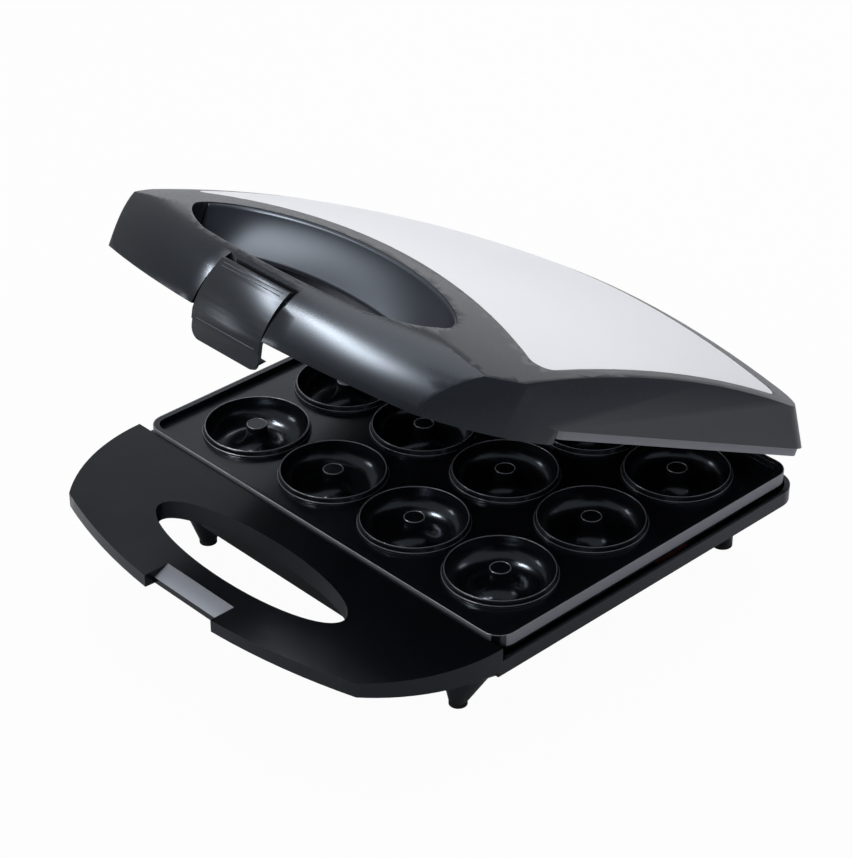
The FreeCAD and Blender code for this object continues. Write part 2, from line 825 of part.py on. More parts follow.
def lower_housing():
    """Base moulding: tub, handle with finger hole and latch notch, legs and hinge ears."""
    outline = plan("base_plan", "rear_corner")
    inner = inset("base_inner_plan", outline, "shell_wall")
    wall_front = "shoulder_y - shell_wall"
    far_front = "bow_front - beyond"
    far_back = "rear_y + beyond"
    slab = raised("base_slab", outline, "band_z", "handle_z")
    rear_top = across("base_rear_top", ("shoulder_y", far_back), ("rim_z - rim_drop", "rim_z"))
    under = trace(board("handle_under_outline", "YZ"), [
        (wall_front, "handle_z - handle_root"), (far_front, "handle_z - handle_edge"),
        (far_front, "band_z - beyond"),
        (wall_front, "band_z - beyond"),
    ])
    under_cut = prism("handle_under", under, "2 * (half_width + beyond)", both=True)
    grip_y = "bow_front + grip_hole_set"
    hollow = common("handle_hollow_blank",
                    raised("handle_hollow_plan", inner, "tub_z", "handle_z - shell_wall"),
                    across("handle_hollow_reach", (far_front, wall_front), ("tub_z", "rim_z")))
    collar = oval("grip_collar", "grip_hole_x + shell_wall", "grip_hole_y + shell_wall", grip_y, "tub_z",
                  "rim_z")
    catch = block("catch_block", ("0 - bay_half - shell_wall", "bay_half + shell_wall"),
                  (far_front, f"{grip_y} - grip_hole_y"), ("tub_z", "rim_z"))
    handle = cut("handle_shell", slab, rear_top, under_cut, cut("handle_hollow", hollow, collar, catch))

    low_side = "(half_width - tub_side_in)"
    tub_outside = tub("tub_outside", "half_width", wall_front, "rear_y", "tub_z", low_side,
                      f"({wall_front} + tub_front_in)", "rear_corner")
    legs = [leg(side, sign) for side, sign in pairs()]
    rear_legs = [rod(f"{side}_rear_leg", "z", "rear_leg_radius", "band_z - pad_thick", f"{sign}leg_x",
                     "leg_rear_y", "pad_thick") for side, sign in pairs()]
    blank = fuse("base_blank", handle, tub_outside, *legs, *rear_legs)

    well = common("well", raised("well_plan", inner, "band_z", "rim_z"),
                  across("well_reach", ("shoulder_y", far_back), ("band_z", "rim_z")))
    tub_inside = tub("tub_inside", "(half_width - shell_wall)", "shoulder_y", "(rear_y - shell_wall)",
                     "tub_z + shell_wall", f"({low_side} - shell_wall)", "(shoulder_y + tub_front_in)",
                     "(rear_corner - shell_wall)")
    ears, pin_holes = [], []
    for side, sign in pairs():
        notch_half = "(lug_width / 2 + lug_gap)"
        reach = f"({notch_half} + ear_width)"
        middle = f"({sign}lug_x)"
        for end, low in (("left", f"{middle} - {reach}"), ("right", f"{middle} + {notch_half}")):
            name = f"{side}_{end}_ear"
            ears.append(block(name, (low, f"{low} + ear_width"), ("rear_y - shell_wall / 2", "hinge_y"),
                              ("hinge_z - lug_radius", "hinge_z + lug_radius")))
            ears.append(rod(name + "_eye", "x", "lug_radius", "ear_width", low, "hinge_y", "hinge_z"))
        pin_holes.append(rod(f"{side}_pin_hole", "x", "pin_radius + pin_fit", f"2 * {reach}",
                             f"{middle} - {reach}", "hinge_y", "hinge_z"))
    post_top = "rim_z - seat_z"
    posts = housing_bosses("lower", "tub_z", post_top)
    inside = cut("base_inside", fuse("base_hollow", well, tub_inside), *posts)

    ramp = trace(board("ramp_outline", "YZ"), [
        ("bow_front + notch_depth", "handle_z"), ("bow_front + catch_set", "handle_z - ramp_depth"),
        ("bow_front + catch_set", "band_z - beyond"), (far_front, "band_z - beyond"),
        (far_front, "handle_z"),
    ])
    notch = prism("latch_notch", ramp, "2 * bay_half", both=True)
    grip = oval("grip_hole", "grip_hole_x", "grip_hole_y", grip_y, "tub_z", "rim_z")
    gland_way = rod("gland_way", "y", "gland_radius", "2 * shell_wall", "0",
                    "rear_y - shell_wall - shell_wall / 2", "gland_z")
    ways = screw_ways("lower", "tub_z - beyond", post_top, "tub_z - beyond", f"{post_top} - screw_seat")
    shell = fuse("base_shell", cut("base_hollowed", blank, inside), *ears)
    return cut("lower_housing", shell, notch, grip, gland_way, *pin_holes, *ways)


def crown(name, depth):
    """Body under the lid's doubly crowned top, lowered by a depth."""
    span = "(half_width + beyond)"
    radius = f"(crown_across - ({depth}))"
    edge_z = f"crown_z - ({depth}) - {radius} + sqrt({radius} ^ 2 - {span} ^ 2)"
    low_z = "rim_z - 2 * crown_height"
    outline = trace(board(name + "_outline", "XZ", "crown_y"), [
        (f"0 - {span}", low_z), (span, low_z), (span, edge_z, radius), (f"0 - {span}", edge_z),
    ])
    angle = "2 * asin(plate_depth / crown_along)"
    return turned(name, outline, "x", angle, "crown_y", "crown_z - crown_along", both=True)


def leaned(name, distance, low, high):
    """Block in which the lid ends: sides and rear lean inwards, with the same corners at every height."""
    corner = f"(lid_corner - ({distance}))"
    solid = doc.addObject("Part::Loft", name)
    sections = []
    for end, z in (("low", low), ("high", high)):
        rise = f"(({z}) - lid_side_z)"
        side = f"(half_width - ({distance}) - {rise} * tan(lid_side_lean))"
        back = f"(rear_y - ({distance}) - {rise} * tan(lid_rear_lean))"
        outline = board(f"{name}_{end}", at=z)
        sections.append(rounded(outline, side, "bow_front - lean_reach", back, corner, corner))
    solid.Sections = sections
    solid.Solid = True
    solid.Ruled = True
    return solid


def lid_form(name, outline, depth, low):
    """The lid's outer form, or with a depth the form inside its walls."""
    far_front = "bow_front - beyond"
    top = "(crown_z + beyond)"
    body = common(name + "_crowned", raised(name + "_prism", outline, low, top),
                  leaned(name + "_rear", depth, low, top), crown(name + "_crown", depth))
    y = f"(bar_top_y + ({depth}))"
    z = f"(bar_top_z - ({depth}) * (1 / cos(deck_angle) - tan(deck_angle)))"
    front = trace(board(name + "_front_outline", "YZ"), [
        (f"bow_front + {depth}", "lid_bar_z"), (f"bow_front + {depth}", "lid_bar_z - crown_height"),
        (f"{far_front} - beyond", "lid_bar_z - crown_height"), (f"{far_front} - beyond", top),
        ("shoulder_y", top), ("shoulder_y", f"{z} + (shoulder_y - {y}) * tan(deck_angle)"),
        (f"{y} + bar_edge * cos(deck_angle)", f"{z} + bar_edge * sin(deck_angle)", "edge_round"),
        (f"{y} - bar_edge * sin(bar_edge_lean)", f"{z} - bar_edge * cos(bar_edge_lean)", "bar_round"),
    ])
    sweep = "2 * asin(half_width / bow_radius)"
    front_cut = turned(name + "_front", front, "z", sweep, "bow_mid_y", both=True)
    return cut(name, body, front_cut)


def cover_outline(name):
    """Outline of the cover seen from above: hollow front edge, straight sides and rear, round corners."""
    side = "(half_width - cover_side_in)"
    inner = f"({side} - cover_corner)"
    front = "(plate_front - cover_front_out)"
    back = "(plate_back - cover_rear_in)"
    hollow = f"0 - ({inner} ^ 2 + cover_front_rise ^ 2) / (2 * cover_front_rise)"
    corner = "cover_corner"
    return trace(board(name), [
        (f"0 - {inner}", front, hollow), (inner, front, corner), (side, f"{front} + {corner}"),
        (side, f"{back} - {corner}", corner), (inner, back), (f"0 - {inner}", back, corner),
        (f"0 - {side}", f"{back} - {corner}"), (f"0 - {side}", f"{front} + {corner}", corner),
    ])


def lid_shells():
    """Lid moulding with handle bar, finger hole, latch bay and hinge lugs, and the cover let into it."""
    outline = plan("lid_plan", "lid_corner")
    inner = inset("lid_inner_plan", outline, "shell_wall")
    far_front = "bow_front - beyond"
    far_back = "rear_y + beyond"
    top = "(crown_z + beyond)"
    form = lid_form("lid_form", outline, "0", "lid_bar_z")
    step = across("lid_step", ("shoulder_y", far_back), ("lid_bar_z - beyond", "lid_side_z"))
    blank = cut("lid_blank", form, step)

    core = lid_form("lid_core", inner, "shell_wall", "lid_bar_z - beyond")
    low = "lid_bar_z - 2 * beyond"
    bulkhead = across("lid_bulkhead", ("shoulder_y - shell_wall", "shoulder_y"), (low, top))
    grip_y = "bow_front + lid_hole_set"
    collar = oval("lid_collar", "lid_hole_x + shell_wall", "lid_hole_y + shell_wall", grip_y, low, top)
    bay_ends = block("bay_ends", ("0 - bay_half - shell_wall", "bay_half + shell_wall"),
                     (far_front, grip_y), (low, top))
    posts = housing_bosses("upper", "lid_rim_z + seat_z", top)
    inside = cut("lid_inside", core, bulkhead, collar, bay_ends, *posts)

    lugs, bores = [], []
    for side, sign in pairs():
        middle = f"({sign}lug_x)"
        x = (f"{middle} - lug_width / 2", f"{middle} + lug_width / 2")
        lugs.append(block(f"{side}_lug_arm", x, ("hinge_y - lug_radius", "hinge_y + lug_radius"),
                          ("hinge_z", "lug_top_z")))
        lugs.append(block(f"{side}_lug_root", x, ("rear_y - shell_wall", "hinge_y"),
                          ("lid_side_z", "lug_top_z")))
        lugs.append(rod(f"{side}_lug_eye", "x", "lug_radius", "lug_width", x[0], "hinge_y", "hinge_z"))
        bores.append(rod(f"{side}_lug_bore", "x", "pin_radius + pin_run", "lug_width", x[0], "hinge_y",
                         "hinge_z"))
    bay = block("latch_bay", ("0 - bay_half", "bay_half"), (far_front, "bay_back"), (low, top))
    latch_way = rod("latch_pin_way", "x", "latch_pin_radius + pin_fit", "2 * (bay_half + shell_wall)",
                    "0 - bay_half - shell_wall", "latch_pin_y", "latch_pin_z")
    behind_bar = rod("lid_hole_front", "z", "bow_radius - bar_depth", f"({top}) - ({low})", "0",
                     "bow_mid_y", low)
    ring = oval("lid_hole_oval", "lid_hole_x", "lid_hole_y", grip_y, low, top)
    grip = common("lid_hole", ring, behind_bar)
    ways = screw_ways("upper", "lid_rim_z + seat_z", top, "lid_rim_z + seat_z + screw_seat", top)
    shape = cover_outline("cover_plan")
    recess = cut("cover_recess", raised("cover_recess_prism", shape, "lid_side_z", top),
                 crown("cover_bed", "cover_sheet + cover_gap"))
    shell = fuse("lid_shell", cut("lid_hollowed", blank, inside), *lugs)
    housing = cut("upper_housing", shell, bay, latch_way, grip, recess, *ways, *bores)

    sheet_plan = inset("cover_sheet_plan", shape, "cover_gap")
    skin = cut("cover_skin", crown("cover_top", "0"), crown("cover_under", "cover_sheet"))
    cover = common("top_cover", raised("cover_prism", sheet_plan, "lid_side_z", top), skin)
    return housing, cover


# Latch, pins, pads and wiring


def latch_clip():
    """Curved clip over the bar, with a barb for the base's catch, a finger tab and a barrel on its pin."""
    body = doc.addObject("PartDesign::Body", "latch_clip")
    outline = body_board(body, "clip_outline", "YZ")
    top_y, top_z = "bow_front + latch_top_set", "rim_z + latch_top"
    low_y, low_z = "bow_front + latch_low_set", "rim_z - latch_low"
    tab_y, tab_z = "bow_front + latch_tab_set", "rim_z - latch_tab"
    tab_top = "rim_z - barb_depth + barb_height"
    tab_in = "(latch_tab_set - latch_low_set) / (latch_tab - latch_low)"
    tab_start = f"{low_y} + {tab_in} * (barb_depth - barb_height - latch_low)"
    barb_y = f"{low_y} + latch_sheet + {tab_in} * (barb_depth - latch_low)"
    trace(outline, [
        (top_y, top_z, "latch_round"), (low_y, low_z), (tab_start, tab_top),
        (f"{tab_start} + tab_step", tab_top), (f"{tab_y} + tab_step", tab_z),
        (f"{tab_y} + latch_sheet", tab_z), (barb_y, "rim_z - barb_depth - barb_height"),
        (f"{barb_y} + barb_reach", "rim_z - barb_depth"), (barb_y, "rim_z - barb_depth"),
        (f"{low_y} + latch_sheet", low_z, "latch_sheet - latch_round"), (f"{top_y} + latch_sheet", top_z),
    ])
    plate = pad(body, "clip_plate", outline, "latch_width", both=True)
    edges = enumerate(plate.Shape.Edges, start=1)
    corners = [f"Edge{number}" for number, edge in edges if tab_corner(edge)]
    round_off = body.newObject("PartDesign::Fillet", "clip_corners")
    round_off.Base = (plate, corners)
    bind(round_off, {"Radius": "latch_corner"})
    doc.recompute()
    barrel = circle(body_board(body, "barrel_outline", "YZ"), "latch_pin_y", "latch_pin_z", "latch_barrel")
    pad(body, "clip_barrel", barrel, "latch_width", both=True)
    bore = circle(body_board(body, "bore_outline", "YZ"), "latch_pin_y", "latch_pin_z",
                  "latch_pin_radius + pin_run")
    pocket(body, "clip_bore", bore, "latch_width + beyond", both=True)
    return body


def tab_corner(edge):
    """Whether an edge is a lower corner of the clip's tab, seen from the front."""
    box = edge.BoundBox
    low = abs(box.ZMax - size("rim_z - latch_tab")) < TOUCH
    return low and box.XLength < TOUCH and abs(abs(box.XMin) - size("latch_width / 2")) < TOUCH


def pins():
    """Hinge pins in the base's ears, and the latch's pin in the bar."""
    reach = "(lug_width / 2 + lug_gap + ear_width)"
    hinge = []
    for side, sign in pairs():
        hinge.append(rod(f"{side}_hinge_pin", "x", "pin_radius", f"2 * {reach}", f"({sign}lug_x) - {reach}",
                         "hinge_y", "hinge_z"))
    latch = rod("latch_pin_rod", "x", "latch_pin_radius", "2 * (bay_half + shell_wall)",
                "0 - bay_half - shell_wall", "latch_pin_y", "latch_pin_z")
    return group("hinge_pins", hinge), group("latch_pin", [latch])


def foot_pads():
    """Rubber pads under the front and the rear legs."""
    nodes = []
    ends = (("front", "leg_front_y", "leg_foot_radius"), ("rear", "leg_rear_y", "rear_leg_radius"))
    for end, y, radius in ends:
        pads = [rod(f"{end}_{side}_pad", "z", radius, "pad_thick", f"{sign}leg_x", y)
                for side, sign in pairs()]
        nodes.append(group(f"{end}_foot_pads", pads))
    return nodes


def cord_gland():
    """Flanged bush in the rear wall for the mains lead."""
    inside_y = "rear_y - shell_wall - gland_flange_thick"
    length = "shell_wall + 2 * gland_flange_thick"
    sleeve = rod("gland_sleeve", "y", "gland_radius - pin_fit", length, "0", inside_y, "gland_z")
    flanges = [rod(f"gland_{side}_flange", "y", "gland_flange", "gland_flange_thick", "0", y, "gland_z")
               for side, y in (("inner", inside_y), ("outer", "rear_y"))]
    bore = rod("gland_bore_way", "y", "gland_bore", length, "0", inside_y, "gland_z")
    return cut("cord_gland", fuse("gland_blank", sleeve, *flanges), bore)


def wiring():
    """Terminal block on the tub's floor, and the leads from it to the lower heater's ends."""
    low = "tub_z + shell_wall"
    back = "rear_y - shell_wall - block_set"
    side = "block_side + block_long / 2"
    body = block("block_body", ("block_side - block_long / 2", side), (f"{back} - block_deep", back),
                 (low, f"{low} + block_tall"))
    ports = [rod(f"block_port_{number}", "y", "block_port", "block_deep",
                 f"block_side + {step} * block_long / 4", f"{back} - block_deep", f"{low} + block_tall / 2")
             for number, step in ((1, -1), (2, 1))]
    terminal = cut("terminal_block", body, *ports)

    pin_z, run_z = "rim_z - heater_pin", f"{low} + lead_lift"
    far_y, near_y = "grid_mid_y + run_y", "grid_mid_y - run_y"
    middle = f"{back} - block_deep / 2"
    short_y, long_y = f"{middle} - block_deep / 4", f"{middle} + block_deep / 4"
    inner_x = "heater_end_x - lead_apart"
    bend = size("lead_bend")
    short = [spot("heater_end_x", far_y, pin_z), spot("heater_end_x", far_y, run_z),
             spot("heater_end_x", short_y, run_z), spot(side, short_y, run_z)]
    long = [spot("heater_end_x", near_y, pin_z), spot("heater_end_x", near_y, run_z),
            spot(inner_x, near_y, run_z), spot(inner_x, long_y, run_z), spot(side, long_y, run_z)]
    radius = size("lead_radius")
    leads = [tube(points, [bend] * (len(points) - 2), radius) for points in (short, long)]
    return terminal, feature("lower_heater_leads", Part.makeCompound(leads))


# The whole object


def build():
    """Makes every piece and returns them by node name."""
    nodes = {}
    makers = {
        "baking_plate": baking_plate, "heating_element": heating_element, "heater_bushes": heater_bushes,
        "heater_saddles": heater_saddles, "heat_reflector": heat_reflector, "plate_screws": plate_screws,
        "thermostat": thermostat,
    }
    for half in ("lower", "upper"):
        for kind, maker in makers.items():
            nodes[f"{half}_{kind}"] = seat(maker(half), half)
    fuse_body, fuse_clip = thermal_fuse()
    nodes["thermal_fuse"] = seat(fuse_body, "lower")
    nodes["thermal_fuse_clip"] = seat(fuse_clip, "lower")
    nodes["lower_housing"] = lower_housing()
    nodes["cord_gland"] = cord_gland()
    nodes["terminal_block"], nodes["lower_heater_leads"] = wiring()
    nodes["front_foot_pads"], nodes["rear_foot_pads"] = foot_pads()
    housing, cover = lid_shells()
    nodes["upper_housing"] = hang(housing)
    nodes["top_cover"] = hang(cover)
    nodes["latch_clip"] = hang(latch_clip())
    nodes["hinge_pins"], latch_pin = pins()
    nodes["latch_pin"] = hang(latch_pin)
    return nodes


def write(nodes):
    """Checks every object, then writes one file for each node."""
    doc.recompute()
    for thing in doc.Objects:
        if {"Invalid", "Error"} & set(thing.State):
            raise RuntimeError(f"{thing.Name} failed: {thing.State}")
    os.makedirs("parts", exist_ok=True)
    for name, piece in nodes.items():
        shape = piece.Shape
        if shape.isNull() or not shape.isValid() or not shape.Solids:
            raise RuntimeError(f"{name} has no valid solid")
        piece.Label = name
    for name, piece in nodes.items():
        piece.Shape.exportStep(f"parts/{name}.step")
        box = piece.Shape.BoundBox
        print(name, len(piece.Shape.Solids), round(piece.Shape.Volume), "mm3", [round(v, 1) for v in (
            box.XMin, box.XMax, box.YMin, box.YMax, box.ZMin, box.ZMax)])


write(build())
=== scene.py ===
import json
import math

import bmesh
import bpy
from mathutils import Matrix, Vector
from mathutils.bvhtree import BVHTree

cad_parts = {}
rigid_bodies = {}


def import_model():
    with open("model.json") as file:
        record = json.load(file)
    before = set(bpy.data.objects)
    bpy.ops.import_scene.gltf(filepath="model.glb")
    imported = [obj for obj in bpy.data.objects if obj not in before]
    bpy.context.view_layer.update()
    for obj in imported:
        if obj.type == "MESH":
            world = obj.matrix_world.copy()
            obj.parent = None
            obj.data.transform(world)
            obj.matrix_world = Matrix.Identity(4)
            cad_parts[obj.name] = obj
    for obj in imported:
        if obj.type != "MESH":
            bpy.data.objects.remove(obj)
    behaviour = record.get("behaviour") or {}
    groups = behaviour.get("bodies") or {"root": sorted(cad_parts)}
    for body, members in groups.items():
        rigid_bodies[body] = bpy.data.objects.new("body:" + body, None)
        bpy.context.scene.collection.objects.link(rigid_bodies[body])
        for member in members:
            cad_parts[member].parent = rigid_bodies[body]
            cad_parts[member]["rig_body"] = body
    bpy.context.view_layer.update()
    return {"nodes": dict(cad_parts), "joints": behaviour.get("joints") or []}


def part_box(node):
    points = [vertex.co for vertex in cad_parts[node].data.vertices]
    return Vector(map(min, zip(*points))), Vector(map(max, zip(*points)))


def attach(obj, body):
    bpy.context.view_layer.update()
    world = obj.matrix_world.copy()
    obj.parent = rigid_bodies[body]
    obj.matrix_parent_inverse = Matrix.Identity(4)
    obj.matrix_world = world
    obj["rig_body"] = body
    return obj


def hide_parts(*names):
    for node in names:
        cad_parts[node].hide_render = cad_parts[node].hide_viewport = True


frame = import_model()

bl_info = {
    "name": "Donut Maker Dressing",
    "version": (1, 0, 0),
    "blender": (4, 5, 0),
    "location": "3D View > Sidebar > Donut Maker",
    "description": "Dresses the packed donut maker with moulded skins, finishes, light and a camera",
    "category": "Object",
}

MM = 0.001

# Corners of a CAD mesh nearer than this are one corner, and faces flatter to each other than this are one.
WELD = 0.002 * MM
FLAT = math.radians(0.3)
# Edges sharper than this are rounded.
SHARP = math.radians(33)

# Dark mouldings and coats mirror the studio a little cooler than it is.
COOL = (0.77, 0.87, 1.0, 1)
PLASTIC_IOR = 1.45
COAT_IOR = 1.62
# Features in a metre of each finish's noise.
MOULD_CLOUD = 28
MOULD_GRAIN = 3200
COAT_CLOUD = 22
COAT_PEEL = 900
COAT_FLECK = 2600
METAL_CLOUD = 14
METAL_GRAIN = 260
MOTTLE = 1500
# The drawn grain of metal runs along the first axis.
DRAWN = (1, 60, 60)
# How much paler than their mouldings the scoop and the clip's ribs are painted: painted highlights that
# stand for the lamps' light on the scoop's slope and along the ribs.
SCOOP_PAINTED_LIGHT = 2.6
RIB_PAINTED_LIGHT = 5

# The cavities of a plate, from left to right and from front to rear.
COLUMNS = 4
ROWS = 3
RING_STEPS = 72
WIRE_SIDES = 8
CORNER_STEPS = 8
SCOOP_COLUMNS = 64
SCOOP_ROWS = 12
SCOOP_WALL = 0.5 * MM
# Powers that shape the scoop: how soon it leans from its ends, and how its lean grows downwards.
SCOOP_SWELL = 0.5
SCOOP_CURVE = 1.4
# Rays that look for a surface start this far off.
FAR = 1.0

# A ramp face looks up within these limits and forward at least this much.
RAMP_UP = (0.5, 0.99)
RAMP_FORWARD = -0.1
# A rim face with the painted sheen is this near the plate's outside, and looks up or down less than this.
RIM_SKIN = 1 * MM
RIM_UP = 0.5

FLOOR_HALF = 3.0
# How much of the floor's white the camera sees; the rest is the shadowed paper.
FLOOR_WHITE = 0.965
SENSOR = 36
NEAR = 0.01


class DonutFinishes(bpy.types.PropertyGroup):
    """Colours and gloss of the visible finishes."""
    lid_colour: bpy.props.FloatVectorProperty(
        name="Lid plastic", description="Satin moulding of the lid", subtype="COLOR", size=3, min=0, max=1,
        default=(0.010, 0.0115, 0.016))
    base_colour: bpy.props.FloatVectorProperty(
        name="Base plastic", description="Half-gloss moulding of the base", subtype="COLOR", size=3, min=0,
        max=1, default=(0.004, 0.0045, 0.006))
    # The ramp is painted pale: a painted highlight where the lamps light the notch's slope on the black
    # base.
    ramp_colour: bpy.props.FloatVectorProperty(
        name="Ramp", description="Pale ramp of the latch notch", subtype="COLOR", size=3, min=0, max=1,
        default=(0.30, 0.31, 0.35))
    latch_colour: bpy.props.FloatVectorProperty(
        name="Latch plastic", description="Satin moulding of the latch clip", subtype="COLOR", size=3, min=0,
        max=1, default=(0.018, 0.019, 0.023))
    cover_colour: bpy.props.FloatVectorProperty(
        name="Cover", description="Pale metal of the lid's cover", subtype="COLOR", size=3, min=0, max=1,
        default=(0.84, 0.84, 0.88))
    plate_colour: bpy.props.FloatVectorProperty(
        name="Non-stick coat", description="Black coat of the baking plates", subtype="COLOR", size=3, min=0,
        max=1, default=(0.006, 0.0065, 0.009))
    # The rim's upright outside is painted a paler metal: a painted sheen standing for the side lamp's
    # reflection.
    rim_colour: bpy.props.FloatVectorProperty(
        name="Plate rim", description="Uncoated outside of the plates' rims", subtype="COLOR", size=3, min=0,
        max=1, default=(0.25, 0.25, 0.285))
    # The plates' edges are painted pale: painted highlights standing for the lamps' glints on the real
    # edges.
    edge_colour: bpy.props.FloatVectorProperty(
        name="Edge highlights", description="Bright edges of the plates", subtype="COLOR", size=3, min=0, max=1,
        default=(0.30, 0.31, 0.34))
    lid_roughness: bpy.props.FloatProperty(
        name="Lid roughness", description="Gloss of the lid moulding", subtype="FACTOR", min=0, max=1,
        default=0.28)
    base_roughness: bpy.props.FloatProperty(
        name="Base roughness", description="Gloss of the base moulding", subtype="FACTOR", min=0, max=1,
        default=0.17)
    plate_roughness: bpy.props.FloatProperty(
        name="Coat roughness", description="Gloss of the non-stick coat", subtype="FACTOR", min=0, max=1,
        default=0.2)


class DonutSizes(bpy.types.PropertyGroup):
    """Small sizes that the solids leave sharp."""
    mould_round: bpy.props.FloatProperty(
        name="Moulding edge", description="Rounding of the mouldings' edges", subtype="DISTANCE",
        unit="LENGTH", min=0, default=0.5 * MM)
    plate_round: bpy.props.FloatProperty(
        name="Plate edge", description="Rounding of the cast plates' edges", subtype="DISTANCE",
        unit="LENGTH", min=0, default=0.35 * MM)
    sheet_round: bpy.props.FloatProperty(
        name="Sheet edge", description="Rounding of thin sheet edges", subtype="DISTANCE", unit="LENGTH",
        min=0, default=0.2 * MM)
    column_pitch: bpy.props.FloatProperty(
        name="Column pitch", description="Cavity to cavity across the plate", subtype="DISTANCE",
        unit="LENGTH", min=0, default=53.5 * MM)
    row_pitch: bpy.props.FloatProperty(
        name="Row pitch", description="Cavity to cavity from front to rear", subtype="DISTANCE",
        unit="LENGTH", min=0, default=56.9 * MM)
    lip_ring: bpy.props.FloatProperty(
        name="Lip ring", description="Radius of the bright edge round a cavity", subtype="DISTANCE",
        unit="LENGTH", min=0, default=24.2 * MM)
    foot_ring: bpy.props.FloatProperty(
        name="Lip foot ring", description="Radius of the bright edge outside a lip", subtype="DISTANCE",
        unit="LENGTH", min=0, default=25.3 * MM)
    post_ring: bpy.props.FloatProperty(
        name="Post ring", description="Radius of the bright edge on a post", subtype="DISTANCE",
        unit="LENGTH", min=0, default=4.5 * MM)
    plate_corner: bpy.props.FloatProperty(
        name="Plate corner", description="Corner radius of the baking plates", subtype="DISTANCE",
        unit="LENGTH", min=0, default=9 * MM)
    hole_set: bpy.props.FloatProperty(
        name="Hole set back", description="Front of the base to the middle of the lid's finger hole",
        subtype="DISTANCE", unit="LENGTH", min=0, default=42.7 * MM)
    hole_wide: bpy.props.FloatProperty(
        name="Hole half width", description="Finger hole's radius across the lid", subtype="DISTANCE",
        unit="LENGTH", min=0, default=76 * MM)
    hole_deep: bpy.props.FloatProperty(
        name="Hole half depth", description="Finger hole's radius from front to rear", subtype="DISTANCE",
        unit="LENGTH", min=0, default=28.5 * MM)
    scoop_start: bpy.props.FloatProperty(
        name="Scoop start", description="Where the scoop begins round the hole", subtype="ANGLE",
        unit="ROTATION", min=0, max=math.radians(80), default=math.radians(4))
    scoop_depth: bpy.props.FloatProperty(
        name="Scoop depth", description="Height of the scoop", subtype="DISTANCE", unit="LENGTH", min=0,
        default=21 * MM)
    scoop_lean: bpy.props.FloatProperty(
        name="Scoop lean", description="How far the scoop's foot comes forward", subtype="DISTANCE",
        unit="LENGTH", min=0, default=11.6 * MM)
    step_rise: bpy.props.FloatProperty(
        name="Tab step", description="Height of the finger tab's step above the clip's lower end",
        subtype="DISTANCE", unit="LENGTH", min=0, default=9 * MM)
    rib_drop: bpy.props.FloatProperty(
        name="Rib spacing", description="Spacing of the fine ribs under the clip's upper edge",
        subtype="DISTANCE", unit="LENGTH", min=0, default=1.4 * MM)
    edge_wire: bpy.props.FloatProperty(
        name="Bright edge", description="Half thickness of the bright edges", subtype="DISTANCE",
        unit="LENGTH", min=0, default=0.22 * MM)


class DonutStage(bpy.types.PropertyGroup):
    """Camera, light and floor."""
    camera_place: bpy.props.FloatVectorProperty(
        name="Camera place", description="Where the camera stands", subtype="TRANSLATION", unit="LENGTH",
        size=3, default=(0.685004, -0.651238, 0.668805))
    camera_turn: bpy.props.FloatVectorProperty(
        name="Camera turn", description="Tilt, roll and heading of the camera", subtype="EULER",
        unit="ROTATION", size=3, default=(math.radians(57.88), 0, math.radians(46.34)))
    lens: bpy.props.FloatProperty(
        name="Lens", description="Focal length on a 36 mm frame", unit="CAMERA", min=1, default=104.036)
    surround: bpy.props.FloatProperty(
        name="Surround", description="Brightness of the studio's walls on the object", min=0, default=0.38)
    floor_colour: bpy.props.FloatVectorProperty(
        name="Floor", description="Pale floor", subtype="COLOR", size=3, min=0, max=1,
        default=(0.68, 0.68, 0.70))


def settings(group):
    """One of the scene's property groups."""
    return getattr(bpy.context.scene, group)


class Value:
    """A socket's value, with the arithmetic that adds Math nodes."""

    def __init__(self, nodes, socket):
        self.nodes = nodes
        self.socket = socket

    def math(self, operation, other):
        """A Math node on this value and another."""
        return self.nodes.node("ShaderNodeMath", {"operation": operation}, {0: self, 1: other})

    def __add__(self, other):
        return self.math("ADD", other)

    def __mul__(self, other):
        return self.math("MULTIPLY", other)

    __radd__ = __add__
    __rmul__ = __mul__


